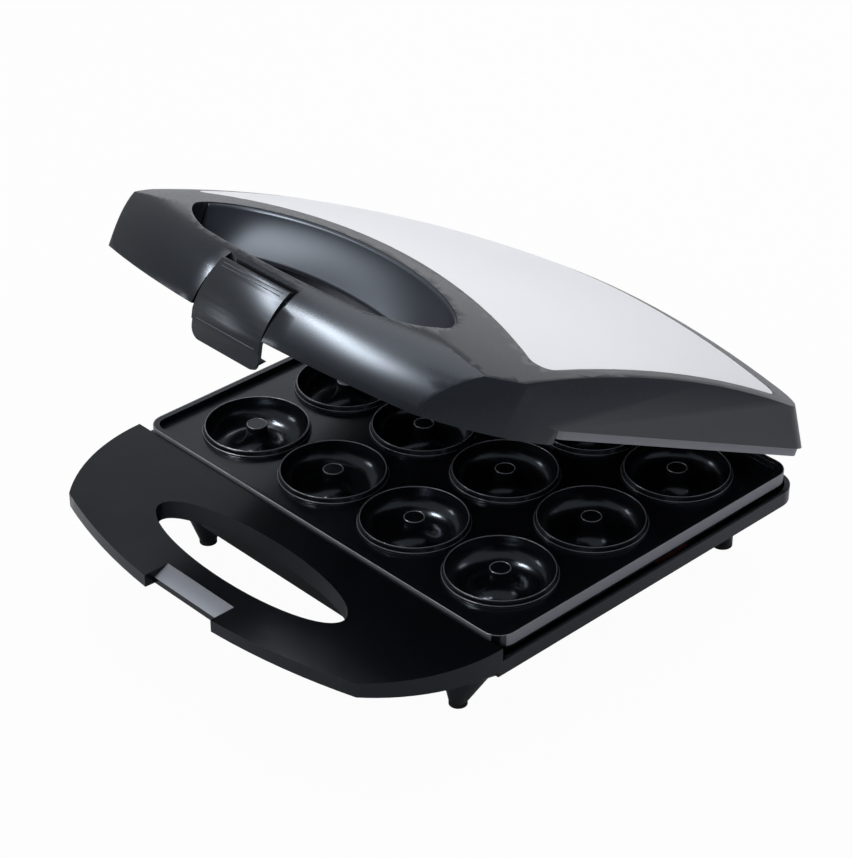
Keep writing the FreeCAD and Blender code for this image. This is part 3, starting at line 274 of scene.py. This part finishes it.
class Nodes:
    """A material, the world or a geometry group that is built node by node."""

    def __init__(self, block):
        self.block = block
        self.tree = block
        if not isinstance(block, bpy.types.NodeTree):
            block.use_nodes = True
            self.tree = block.node_tree
        self.tree.nodes.clear()

    def node(self, kind, options=None, sockets=None, out=0):
        """Adds a node, sets its options, then its sockets, and returns one of its outputs."""
        made = self.tree.nodes.new(kind)
        for name, value in (options or {}).items():
            if name == "stops":
                self.stops(made.color_ramp, value)
            else:
                setattr(made, name, value)
        for key, value in (sockets or {}).items():
            if isinstance(value, Value):
                self.tree.links.new(value.socket, made.inputs[key])
            else:
                made.inputs[key].default_value = value
        return Value(self, made.outputs[out]) if len(made.outputs) else None

    @staticmethod
    def stops(ramp, stops):
        """Sets a ramp's stops from (place, colour) pairs."""
        while len(ramp.elements) < len(stops):
            ramp.elements.new(1)
        for element, (place, colour) in zip(ramp.elements, stops):
            element.position = place
            element.color = (*colour, 1)

    def noise(self, scale, detail, stretch=(1, 1, 1)):
        """Grey noise on the surface's own coordinates; scale counts features in a metre."""
        here = self.node("ShaderNodeTexCoord", out="Object")
        place = self.node("ShaderNodeMapping", {}, {"Vector": here, "Scale": stretch})
        return self.node("ShaderNodeTexNoise", {}, {
            "Vector": place, "Scale": scale, "Detail": detail, "Roughness": 0.55})

    def tint(self, factor, low, high):
        """A colour between two by a factor."""
        sockets = {0: factor, 6: (*low, 1), 7: (*high, 1)}
        return self.node("ShaderNodeMix", {"data_type": "RGBA"}, sockets, out=2)

    @staticmethod
    def gloss(roughness, *wavers):
        """A roughness that wavers evenly about its value, by pairs of a noise and its spread."""
        level = roughness - sum(spread for noise, spread in wavers) / 2
        for noise, spread in wavers:
            level = noise * spread + level
        return level

    def bump(self, height, strength, distance):
        """A surface normal from a height."""
        return self.node("ShaderNodeBump", {}, {
            "Height": height, "Strength": strength, "Distance": distance}, out="Normal")

    def surface(self, **sockets):
        """The material's surface shader; returns the material."""
        named = {name.replace("_", " "): value for name, value in sockets.items()}
        shader = self.node("ShaderNodeBsdfPrincipled", {}, named)
        self.node("ShaderNodeOutputMaterial", {}, {"Surface": shader})
        return self.block


def new_finish(name):
    """The nodes of a new material."""
    return Nodes(bpy.data.materials.new(name))


def shade(colour, factor):
    """A colour made lighter or darker."""
    return tuple(min(1, channel * factor) for channel in colour)


def moulded(name, colour, roughness):
    """Moulded plastic: spark-eroded grain, faint cloudiness in colour and gloss."""
    finish = new_finish(name)
    cloud = finish.noise(MOULD_CLOUD, detail=3)
    grain = finish.noise(MOULD_GRAIN, detail=1)
    tone = finish.tint(cloud, shade(colour, 0.88), shade(colour, 1.13))
    gloss = finish.gloss(roughness, (cloud, 0.08), (grain, 0.05))
    normal = finish.bump(grain, strength=0.05, distance=0.06 * MM)
    return finish.surface(
        Base_Color=tone, Roughness=gloss, Normal=normal, IOR=PLASTIC_IOR, Specular_Tint=COOL)


def coated(name, colour, roughness):
    """Sprayed non-stick coat: fine orange peel, paler flecks and soft wear clouds."""
    finish = new_finish(name)
    peel = finish.noise(COAT_PEEL, detail=2)
    cloud = finish.noise(COAT_CLOUD, detail=3)
    fleck = finish.node("ShaderNodeValToRGB", {"stops": [(0.66, (0, 0, 0)), (0.74, (1, 1, 1))]},
                        {"Fac": finish.noise(COAT_FLECK, detail=1)})
    tone = finish.tint(fleck * 0.5, colour, shade(colour, 2.0))
    gloss = finish.gloss(roughness, (cloud, 0.06), (peel, 0.03))
    normal = finish.bump(peel, strength=0.04, distance=0.03 * MM)
    return finish.surface(
        Base_Color=tone, Roughness=gloss, Normal=normal, IOR=COAT_IOR, Specular_Tint=COOL)


def satin_metal(name, colour, roughness, metallic=1.0):
    """Metal with a fine drawn grain along one axis."""
    finish = new_finish(name)
    grain = finish.noise(METAL_GRAIN, detail=3, stretch=DRAWN)
    cloud = finish.noise(METAL_CLOUD, detail=2)
    tone = finish.tint(grain * 0.6 + cloud * 0.4, shade(colour, 0.96), shade(colour, 1.04))
    gloss = finish.gloss(roughness, (grain, 0.10), (cloud, 0.05))
    normal = finish.bump(grain, strength=0.03, distance=0.02 * MM)
    return finish.surface(Base_Color=tone, Roughness=gloss, Metallic=metallic, Normal=normal)


def plain(name, colour, roughness, metallic=0.0):
    """Finish of the small hidden pieces: mottled colour and gloss."""
    finish = new_finish(name)
    mottle = finish.noise(MOTTLE, detail=2)
    tone = finish.tint(mottle, shade(colour, 0.85), shade(colour, 1.15))
    gloss = finish.gloss(roughness, (mottle, 0.2))
    return finish.surface(Base_Color=tone, Roughness=gloss, Metallic=metallic)


def stand(name, data):
    """A new object in the scene."""
    made = bpy.data.objects.new(name, data)
    bpy.context.scene.collection.objects.link(made)
    return made


def settle(draft, name, material):
    """Turns a draft with its modifiers into a plain mesh piece."""
    bpy.context.view_layer.update()
    evaluated = draft.evaluated_get(bpy.context.evaluated_depsgraph_get())
    mesh = bpy.data.meshes.new_from_object(evaluated)
    mesh.materials.clear()
    mesh.materials.append(material)
    old = draft.data
    bpy.data.objects.remove(draft)
    bpy.data.meshes.remove(old)
    return stand(name, mesh)


def skin(node, width, material, segments=2, flowing=False):
    """Stands a welded copy of a CAD solid in its place, its edges rounded as a mould or cast leaves them."""
    solid = frame["nodes"][node]
    body = solid["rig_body"]
    shell = bmesh.new()
    shell.from_mesh(solid.data)
    bmesh.ops.remove_doubles(shell, verts=shell.verts, dist=WELD)
    bmesh.ops.dissolve_limit(shell, angle_limit=FLAT, verts=shell.verts, edges=shell.edges)
    mesh = bpy.data.meshes.new(node + "_skin")
    shell.to_mesh(mesh)
    shell.free()
    mesh.shade_smooth()
    draft = stand(node + "_draft", mesh)
    bevel = draft.modifiers.new("edges", "BEVEL")
    bevel.width = width
    bevel.segments = segments
    bevel.limit_method = "ANGLE"
    bevel.angle_limit = SHARP
    bevel.miter_outer = "MITER_ARC"
    if flowing:
        bevel.harden_normals = True
    else:
        draft.modifiers.new("shading", "WEIGHTED_NORMAL")
    piece = settle(draft, node + "_skin", material)
    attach(piece, body)
    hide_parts(node)
    return piece


def paint(material, *nodes):
    """Gives CAD nodes a finish."""
    for node in nodes:
        mesh = frame["nodes"][node].data
        mesh.materials.clear()
        mesh.materials.append(material)


def shut_turn(body):
    """The turn about the hinge that takes a shut body to where it rests; none for the base."""
    if body == "base":
        return Matrix.Identity(4)
    hinge = next(joint for joint in frame["joints"] if joint["name"] == "lid_hinge")
    pivot = Matrix.Translation(Vector(hinge["pos_m"]))
    angle = math.radians(-hinge["range_deg"][0])
    return pivot @ Matrix.Rotation(angle, 4, Vector(hinge["axis"])) @ pivot.inverted()


def shut_corners(node, turn):
    """Corners of a CAD solid with its body shut."""
    solid = frame["nodes"][node]
    place = turn.inverted() @ solid.matrix_world
    return [place @ corner.co for corner in solid.data.vertices]


def shut_shape(node, turn):
    """Tree of a CAD solid's faces with its body shut, for finding places on its surface."""
    faces = [tuple(face.vertices) for face in frame["nodes"][node].data.polygons]
    return BVHTree.FromPolygons(shut_corners(node, turn), faces)


def wire_group(name, ringed):
    """Geometry nodes that lay round wire: a ring on every point, or a wire along every line."""
    tree = bpy.data.node_groups.new(name, "GeometryNodeTree")
    for label, kind in (("Places", "NodeSocketGeometry"), ("Ring radius", "NodeSocketFloat"),
                        ("Wire radius", "NodeSocketFloat"), ("Material", "NodeSocketMaterial")):
        if ringed or label != "Ring radius":
            tree.interface.new_socket(label, in_out="INPUT", socket_type=kind)
    tree.interface.new_socket("Wires", in_out="OUTPUT", socket_type="NodeSocketGeometry")
    group = Nodes(tree)
    source = group.node("NodeGroupInput").socket.node
    given = {socket.name: Value(group, socket) for socket in source.outputs if socket.name}
    circle = "GeometryNodeCurvePrimitiveCircle"
    if ringed:
        path = group.node(circle, {}, {"Resolution": RING_STEPS, "Radius": given["Ring radius"]})
    else:
        line = group.node("GeometryNodeMeshToCurve", {}, {"Mesh": given["Places"]})
        path = group.node("GeometryNodeSetCurveNormal", {"mode": "Z_UP"}, {"Curve": line})
    section = group.node(circle, {}, {"Resolution": WIRE_SIDES, "Radius": given["Wire radius"]})
    wire = group.node(
        "GeometryNodeCurveToMesh", {}, {"Curve": path, "Profile Curve": section, "Fill Caps": True})
    if ringed:
        wire = group.node("GeometryNodeInstanceOnPoints", {}, {"Points": given["Places"], "Instance": wire})
    real = group.node("GeometryNodeRealizeInstances", {}, {"Geometry": wire})
    done = group.node("GeometryNodeSetMaterial", {}, {"Geometry": real, "Material": given["Material"]})
    group.node("NodeGroupOutput", {}, {"Wires": done})
    return tree


def lay_wires(tree, name, points, lines, radii, material):
    """A plain mesh of a wire group's wires on points or lines."""
    mesh = bpy.data.meshes.new(name)
    mesh.from_pydata(points, lines, [])
    draft = stand(name + "_draft", mesh)
    wires = draft.modifiers.new("wires", "NODES")
    wires.node_group = tree
    values = {**radii, "Material": material}
    for socket in tree.interface.items_tree:
        if socket.name in values:
            wires[socket.identifier] = values[socket.name]
    return settle(draft, name, material)


class DONUT_OT_base(bpy.types.Operator):
    """Dresses the base moulding, its pads and its gland"""
    bl_idname = "donut.base"
    bl_label = "Base"

    def execute(self, context):
        looks, sizes = settings("donut_finishes"), settings("donut_sizes")
        plastic = moulded("base_plastic", looks.base_colour, looks.base_roughness)
        piece = skin("lower_housing", sizes.mould_round, plastic)
        # The ramp's faces get a pale copy of the plastic: a painted highlight.
        self.paint_ramp_highlight(piece.data, moulded("ramp_painted_highlight", looks.ramp_colour, roughness=0.4))
        rubber = plain("pad_rubber", (0.012, 0.012, 0.012), roughness=0.8)
        paint(rubber, "front_foot_pads", "rear_foot_pads", "cord_gland")
        return {"FINISHED"}

    @staticmethod
    def paint_ramp_highlight(mesh, highlight_plastic):
        """Gives the latch notch's ramp, picked by its slope, a paler copy of the base plastic: a painted
        highlight.
        """
        mesh.materials.append(highlight_plastic)
        side = abs(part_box("latch_clip")[0][0]) + MM
        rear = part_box("lower_baking_plate")[0][1]
        for face in mesh.polygons:
            sloping = RAMP_UP[0] < face.normal.z < RAMP_UP[1] and face.normal.y < RAMP_FORWARD
            if sloping and abs(face.center.x) < side and face.center.y < rear:
                face.material_index = 1


class DONUT_OT_lid(bpy.types.Operator):
    """Dresses the lid moulding and the cover let into it"""
    bl_idname = "donut.lid"
    bl_label = "Lid"

    def execute(self, context):
        looks, sizes = settings("donut_finishes"), settings("donut_sizes")
        plastic = moulded("lid_plastic", looks.lid_colour, looks.lid_roughness)
        skin("upper_housing", sizes.mould_round, plastic, flowing=True)
        metal = satin_metal("cover_metal", looks.cover_colour, roughness=0.38, metallic=0.25)
        skin("top_cover", sizes.sheet_round, metal, segments=1)
        return {"FINISHED"}


class DONUT_OT_scoop(bpy.types.Operator):
    """Lines the rear of the lid's finger hole with a sloping scoop, painted paler as a highlight"""
    bl_idname = "donut.scoop"
    bl_label = "Finger scoop"

    def execute(self, context):
        looks, sizes = settings("donut_finishes"), settings("donut_sizes")
        turn = shut_turn("lid")
        # The scoop is a paler copy of the lid plastic: a painted highlight on the hole's rear wall.
        plastic = moulded("scoop_painted_highlight", shade(looks.lid_colour, SCOOP_PAINTED_LIGHT), roughness=0.34)
        mesh = bpy.data.meshes.new("lid_scoop")
        mesh.from_pydata(self.corners(sizes, shut_shape("upper_housing", turn)), [], self.faces())
        mesh.shade_smooth()
        draft = stand("lid_scoop_draft", mesh)
        wall = draft.modifiers.new("wall", "SOLIDIFY")
        wall.thickness = SCOOP_WALL
        wall.offset = -1
        piece = settle(draft, "lid_scoop", plastic)
        piece.data.transform(turn)
        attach(piece, "lid")
        return {"FINISHED"}

    @staticmethod
    def corners(sizes, shape):
        """The scoop's corners, in columns round the rear of the hole, each from the hole's rim down."""
        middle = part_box("lower_housing")[0][1] + sizes.hole_set
        corners = []
        for column in range(SCOOP_COLUMNS + 1):
            share = column / SCOOP_COLUMNS
            angle = sizes.scoop_start + (math.pi - 2 * sizes.scoop_start) * share
            swell = math.sin(math.pi * share) ** SCOOP_SWELL
            side, rear = math.cos(angle), math.sin(angle)
            wide, deep = sizes.hole_wide + SCOOP_WALL, sizes.hole_deep + SCOOP_WALL
            spot = shape.ray_cast(Vector((side * wide, middle + rear * deep, FAR)), Vector((0, 0, -1)))[0]
            rim = spot.z - SCOOP_WALL
            for row in range(SCOOP_ROWS + 1):
                drop = row / SCOOP_ROWS
                inset = SCOOP_WALL + sizes.scoop_lean * swell * drop ** SCOOP_CURVE
                wide, deep = sizes.hole_wide - inset, sizes.hole_deep - inset
                corners.append((side * wide, middle + rear * deep, rim - sizes.scoop_depth * drop))
        return corners

    @staticmethod
    def faces():
        """The faces between neighbouring columns of corners."""
        tall = SCOOP_ROWS + 1
        starts = [column * tall + row for column in range(SCOOP_COLUMNS) for row in range(SCOOP_ROWS)]
        return [(start, start + 1, start + tall + 1, start + tall) for start in starts]


class DONUT_OT_plates(bpy.types.Operator):
    """Dresses the two baking plates"""
    bl_idname = "donut.plates"
    bl_label = "Baking plates"

    def execute(self, context):
        looks, sizes = settings("donut_finishes"), settings("donut_sizes")
        coat = coated("non_stick_coat", looks.plate_colour, looks.plate_roughness)
        # Paler metal for the rim's upright outside: a painted sheen.
        sheen_metal = satin_metal("rim_painted_sheen", looks.rim_colour, roughness=0.42, metallic=0.35)
        for half, body in (("lower", "base"), ("upper", "lid")):
            piece = skin(half + "_baking_plate", sizes.plate_round, coat)
            self.rim_painted_sheen(piece.data, sheen_metal, shut_turn(body).inverted())
        return {"FINISHED"}

    @staticmethod
    def rim_painted_sheen(mesh, sheen_metal, shut):
        """Paints the upright outside of the plate's rim a paler metal: a painted sheen where the side lamp
        lights it.
        """
        mesh.materials.append(sheen_metal)
        places = [(shut @ face.center).xy for face in mesh.polygons]
        ends = [(min(along), max(along)) for along in zip(*places)]
        for face, place in zip(mesh.polygons, places):
            inside = min(min(spot - low, high - spot) for spot, (low, high) in zip(place, ends))
            if inside < RIM_SKIN and abs((shut.to_3x3() @ face.normal).z) < RIM_UP:
                face.material_index = 1


class DONUT_OT_lips(bpy.types.Operator):
    """Lays thin pale wires round the cavities, on their posts and along the lower plate's rim: painted
    highlights of the plates' edges
    """
    bl_idname = "donut.lips"
    bl_label = "Plate edges"

    def execute(self, context):
        looks, sizes = settings("donut_finishes"), settings("donut_sizes")
        # Pale metal for the wires: painted highlights along the plates' edges.
        edge_highlight_metal = satin_metal("painted_edge_highlight", looks.edge_colour, roughness=0.30, metallic=0.6)
        rings = wire_group("rings_on_points", ringed=True)
        low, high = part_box("lower_baking_plate")
        low, high = Vector(low), Vector(high)
        for half, body, up in (("lower", "base", 1), ("upper", "lid", -1)):
            turn = shut_turn(body)
            shape = shut_shape(half + "_baking_plate", turn)
            for edge in ("lip_ring", "foot_ring", "post_ring"):
                radius = getattr(sizes, edge)
                points = self.cavities(sizes, shape, (low + high) / 2, radius, up)
                radii = {"Ring radius": radius, "Wire radius": sizes.edge_wire}
                piece = lay_wires(rings, f"{half}_{edge}s", points, [], radii, edge_highlight_metal)
                piece.data.transform(turn)
                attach(piece, body)
        self.rim_line(sizes, low, high, edge_highlight_metal)
        return {"FINISHED"}

    @staticmethod
    def cavities(sizes, shape, middle, radius, up):
        """The middle of each cavity, at the plate's height where a ring of this radius lies."""
        points = []
        for column in range(COLUMNS):
            for row in range(ROWS):
                x = middle.x + (column - (COLUMNS - 1) / 2) * sizes.column_pitch
                y = middle.y + (row - (ROWS - 1) / 2) * sizes.row_pitch
                spot = shape.ray_cast(Vector((x + radius, y, middle.z + up * FAR)), Vector((0, 0, -up)))[0]
                points.append((x, y, spot.z))
        return points

    @staticmethod
    def rim_line(sizes, low, high, material):
        """The painted highlight line along the lower plate's rim."""
        inset = Vector((sizes.plate_corner, sizes.plate_corner, 0))
        low, high = low + inset, high - inset
        radius = sizes.plate_corner - sizes.edge_wire
        middles = ((high.x, high.y), (low.x, high.y), (low.x, low.y), (high.x, low.y))
        points = []
        for quarter, (x, y) in enumerate(middles):
            for step in range(CORNER_STEPS + 1):
                angle = (quarter + step / CORNER_STEPS) * math.pi / 2
                points.append((x + radius * math.cos(angle), y + radius * math.sin(angle),
                               high.z - sizes.edge_wire / 2))
        lines = [(index, (index + 1) % len(points)) for index in range(len(points))]
        tree = wire_group("rim_wire", ringed=False)
        piece = lay_wires(tree, "lower_rim_line", points, lines, {"Wire radius": sizes.edge_wire}, material)
        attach(piece, "base")


class DONUT_OT_latch(bpy.types.Operator):
    """Dresses the latch clip"""
    bl_idname = "donut.latch"
    bl_label = "Latch"

    def execute(self, context):
        looks, sizes = settings("donut_finishes"), settings("donut_sizes")
        plastic = moulded("latch_plastic", looks.latch_colour, roughness=0.33)
        skin("latch_clip", sizes.plate_round, plastic, flowing=True)
        # The ribs are a much paler copy of the clip plastic: painted highlight lines.
        self.ribs(sizes, moulded("latch_rib_painted_highlight", shade(looks.latch_colour, RIB_PAINTED_LIGHT), roughness=0.33))
        return {"FINISHED"}

    @staticmethod
    def ribs(sizes, material):
        """Two fine ribs across the clip under its upper edge, and one at the step of its finger tab, painted
        pale as highlight lines.
        """
        turn = shut_turn("lid")
        shape = shut_shape("latch_clip", turn)
        across, _, heights = zip(*shut_corners("latch_clip", turn))
        half = max(across) - 2 * sizes.rib_drop
        top, low = max(heights), min(heights)
        points, lines = [], []
        for height in (top - sizes.rib_drop, top - 2 * sizes.rib_drop, low + sizes.step_rise):
            spot = shape.ray_cast(Vector((0, -FAR, height)), Vector((0, 1, 0)))[0]
            lines.append((len(points), len(points) + 1))
            points += [(-half, spot.y, spot.z), (half, spot.y, spot.z)]
        tree = wire_group("rib_wire", ringed=False)
        piece = lay_wires(tree, "latch_ribs", points, lines, {"Wire radius": sizes.edge_wire}, material)
        piece.data.transform(turn)
        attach(piece, "latch")


class DONUT_OT_works(bpy.types.Operator):
    """Gives the pieces behind the plates and the pins their finishes"""
    bl_idname = "donut.works"
    bl_label = "Heaters and fittings"

    def execute(self, context):
        steel = satin_metal("bare_steel", (0.55, 0.55, 0.57), roughness=0.32)
        sheet = satin_metal("bright_sheet", (0.74, 0.74, 0.76), roughness=0.28)
        sheath = plain("heater_sheath", (0.16, 0.15, 0.14), roughness=0.55, metallic=0.8)
        ceramic = plain("bush_ceramic", (0.72, 0.68, 0.60), roughness=0.7)
        dark = plain("control_moulding", (0.02, 0.02, 0.02), roughness=0.45)
        for half in ("lower", "upper"):
            paint(sheath, half + "_heating_element")
            paint(ceramic, half + "_heater_bushes")
            paint(steel, half + "_heater_saddles", half + "_plate_screws")
            paint(sheet, half + "_heat_reflector")
            paint(dark, half + "_thermostat")
        paint(steel, "thermal_fuse_clip", "hinge_pins", "latch_pin")
        paint(sheet, "thermal_fuse")
        paint(dark, "terminal_block")
        paint(plain("lead_cover", (0.35, 0.05, 0.04), roughness=0.6), "lower_heater_leads")
        return {"FINISHED"}


class DONUT_OT_stage(bpy.types.Operator):
    """Builds the floor, the light and the camera"""
    bl_idname = "donut.stage"
    bl_label = "Stage"

    def execute(self, context):
        stage = settings("donut_stage")
        scene = context.scene
        scene.view_settings.view_transform = "Standard"
        self.camera(scene, stage)
        self.floor(stage)
        self.world(scene, stage)
        self.lamp("top_softbox", place=(-0.27, 0.45, 1.36), target=(0, 0, 0.08), sides=(1.2, 1.2), power=11)
        key = self.lamp(
            "key_softbox", place=(-0.44, -0.50, 1.28), target=(0, -0.05, 0.12), sides=(0.62, 0.15),
            power=22)
        # The key only draws the highlights; the other lamps light the surfaces.
        key.visible_diffuse = False
        self.lamp(
            "left_softbox", place=(-0.88, -1.12, 0.34), target=(0, -0.08, 0.15), sides=(0.35, 0.35),
            power=3.2)
        self.lamp("side_softbox", place=(0.85, 0.85, 0.72), target=(0, 0, 0.1), sides=(0.3, 0.3), power=0.7)
        self.lamp("back_panel", place=(-1.0, 1.27, 0.46), target=(0, 0, 0.1), sides=(1.3, 0.84), power=2.6)
        return {"FINISHED"}

    @staticmethod
    def camera(scene, stage):
        """The photo's camera."""
        data = bpy.data.cameras.new("photo_camera")
        data.lens = stage.lens
        data.sensor_width = SENSOR
        data.clip_start = NEAR
        eye = stand("photo_camera", data)
        eye.location = stage.camera_place
        eye.rotation_euler = stage.camera_turn
        scene.camera = eye

    @staticmethod
    def floor(stage):
        """A pale floor that the camera sees nearly white."""
        mesh = bpy.data.meshes.new("floor")
        ends = (-FLOOR_HALF, FLOOR_HALF)
        mesh.from_pydata([(x, y, 0) for y in ends for x in ends], [], [(0, 1, 3, 2)])
        floor = stand("floor", mesh)
        finish = new_finish("floor_paper")
        seen = finish.node("ShaderNodeLightPath", out="Is Camera Ray")
        paper = finish.node("ShaderNodeBsdfDiffuse", {}, {"Color": (*stage.floor_colour, 1)})
        white = finish.node("ShaderNodeEmission", {}, {"Color": (1, 1, 1, 1), "Strength": 1})
        mix = finish.node("ShaderNodeMixShader", {}, {0: seen * FLOOR_WHITE, 1: paper, 2: white})
        finish.node("ShaderNodeOutputMaterial", {}, {"Surface": mix})
        mesh.materials.append(finish.block)

    @staticmethod
    def world(scene, stage):
        """A studio that the camera sees white and the object a cool grey."""
        world = bpy.data.worlds.new("studio")
        finish = Nodes(world)
        seen = finish.node("ShaderNodeLightPath", out="Is Camera Ray")
        grey = finish.node(
            "ShaderNodeBackground", {}, {"Color": (0.96, 0.98, 1, 1), "Strength": stage.surround})
        white = finish.node("ShaderNodeBackground", {}, {"Color": (1, 1, 1, 1), "Strength": 1})
        mix = finish.node("ShaderNodeMixShader", {}, {0: seen, 1: grey, 2: white})
        finish.node("ShaderNodeOutputWorld", {}, {"Surface": mix})
        scene.world = world

    @staticmethod
    def lamp(name, place, target, sides, power):
        """A soft lamp that faces its target."""
        data = bpy.data.lights.new(name, "AREA")
        data.shape = "RECTANGLE"
        data.size, data.size_y = sides
        data.energy = power
        lamp = stand(name, data)
        lamp.location = place
        lamp.rotation_euler = (Vector(target) - Vector(place)).to_track_quat("-Z", "Y").to_euler()
        return lamp


class DONUT_PT_panel(bpy.types.Panel):
    """Lists the steps and the values that a user would change"""
    bl_idname = "DONUT_PT_panel"
    bl_label = "Donut Maker"
    bl_space_type = "VIEW_3D"
    bl_region_type = "UI"
    bl_category = "Donut Maker"

    def draw(self, context):
        for step in STEPS:
            self.layout.operator(step.bl_idname)
        for group in GROUPS:
            values = settings(group)
            for name in values.bl_rna.properties.keys():
                if name not in ("rna_type", "name"):
                    self.layout.prop(values, name)


GROUPS = {"donut_finishes": DonutFinishes, "donut_sizes": DonutSizes, "donut_stage": DonutStage}
STEPS = (
    DONUT_OT_stage, DONUT_OT_base, DONUT_OT_lid, DONUT_OT_scoop,
    DONUT_OT_plates, DONUT_OT_lips, DONUT_OT_latch, DONUT_OT_works)


def register():
    for kind in (*GROUPS.values(), *STEPS, DONUT_PT_panel):
        bpy.utils.register_class(kind)
    for name, kind in GROUPS.items():
        setattr(bpy.types.Scene, name, bpy.props.PointerProperty(type=kind))


def unregister():
    for name in GROUPS:
        delattr(bpy.types.Scene, name)
    for kind in reversed((*GROUPS.values(), *STEPS, DONUT_PT_panel)):
        bpy.utils.unregister_class(kind)


def main():
    register()
    for step in STEPS:
        group, name = step.bl_idname.split(".")
        getattr(getattr(bpy.ops, group), name)()


if __name__ == "__main__":
    main()
